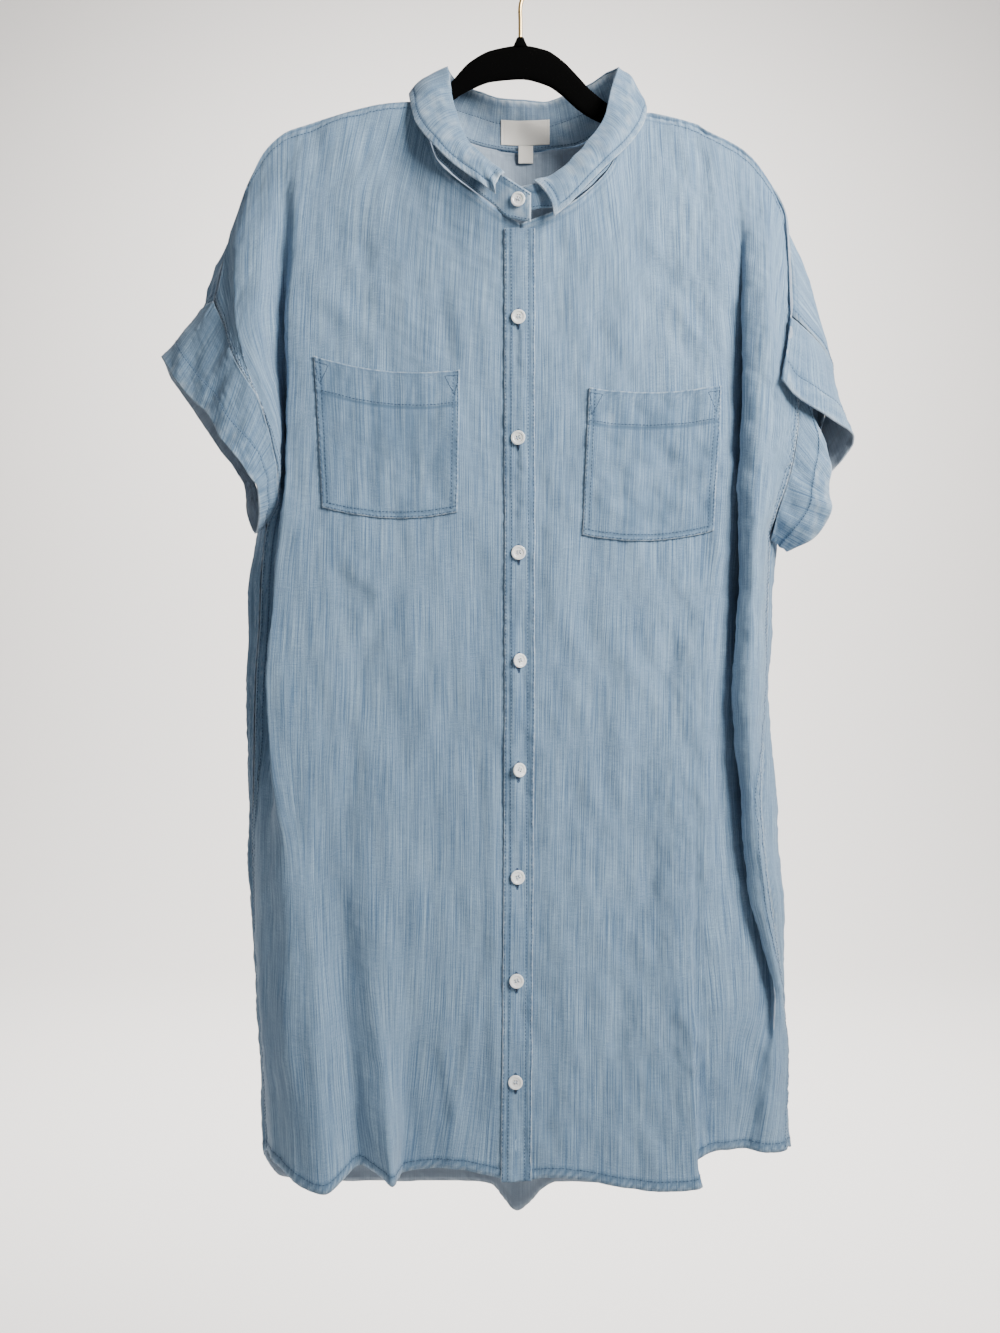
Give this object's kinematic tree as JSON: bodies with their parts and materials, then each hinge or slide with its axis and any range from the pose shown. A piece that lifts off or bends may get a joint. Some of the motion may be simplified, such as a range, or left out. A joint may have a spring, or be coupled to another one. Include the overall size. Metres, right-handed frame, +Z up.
{
  "type": "shirt dress on hanger",
  "caption": "Short-sleeved button-front chambray shirt dress with a turned collar and chest patch pockets, hanging on a slim velvet hanger with a wire hook.",
  "frame": {"origin": "the point inside the top of the hook where it bears on its rail", "axes": "+X to the right seen from the front of the dress, +Y from front to back, +Z up"},
  "size_m": [0.5967, 0.1182, 1.0896],
  "materials": {
    "chambray": "washed light blue chambray with vertical slubs",
    "button": "pearly white, semi-gloss",
    "label": "woven tape, matt, blank",
    "velvet": "black velvet flock",
    "hook": "polished gold-coloured wire"
  },
  "bodies": {
    "root": {"front_right": "chambray", "front_left": "chambray", "back": "chambray", "sleeve_right": "chambray", "sleeve_left": "chambray", "collar_stand": "chambray", "collar": "chambray", "placket": "chambray", "pocket_right": "chambray", "pocket_left": "chambray", "button_1": "button", "button_2": "button", "button_3": "button", "button_4": "button", "button_5": "button", "button_6": "button", "button_7": "button", "button_8": "button", "button_9": "button", "label_main": "label", "label_size": "label", "hanger_body": "velvet", "hanger_hook": "hook"}
  },
  "joints": []
}
